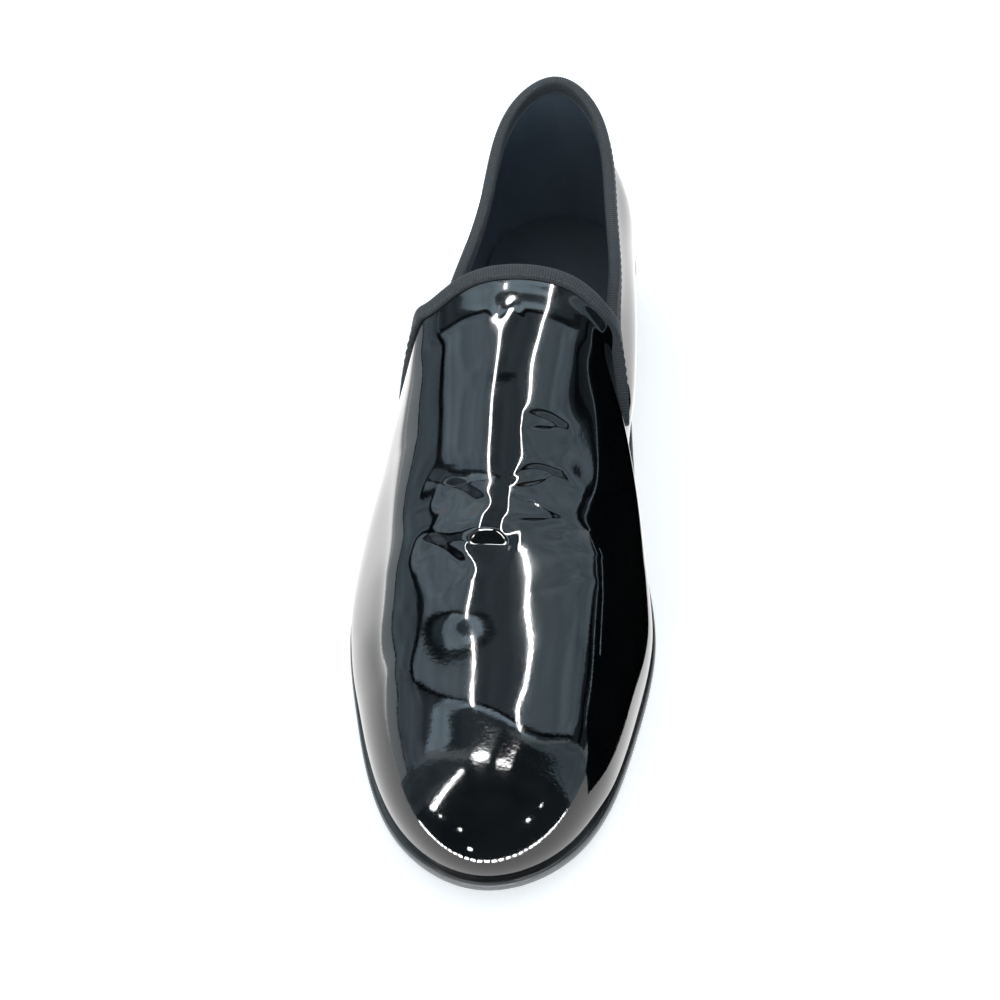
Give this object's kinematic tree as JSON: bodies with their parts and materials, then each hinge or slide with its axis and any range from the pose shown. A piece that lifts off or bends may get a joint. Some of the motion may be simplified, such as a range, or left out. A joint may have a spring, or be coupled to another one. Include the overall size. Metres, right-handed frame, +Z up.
{
  "type": "slip-on loafer",
  "caption": "Black patent leather slip-on loafer: plain vamp rising to a rounded tongue, ribbon-bound topline with side notches, thin sole and low heel. Holds a foot.",
  "frame": {"origin": "middle of the sole's outline, on the floor", "axes": "+Y from toe to heel, +X to the shoe's inner side, +Z up"},
  "size_m": [0.1023, 0.2914, 0.0904],
  "materials": {
    "sole_leather": "black waxed edge",
    "heel_stack": "black waxed stack",
    "lining_leather": "smooth satin",
    "patent_leather": "black patent gloss",
    "ribbon": "ribbed weave"
  },
  "bodies": {
    "root": {"outsole": "sole_leather", "heel": "heel_stack", "insole": "lining_leather", "upper": "patent_leather", "tongue_binding": "ribbon", "collar_binding": "ribbon"}
  },
  "joints": []
}
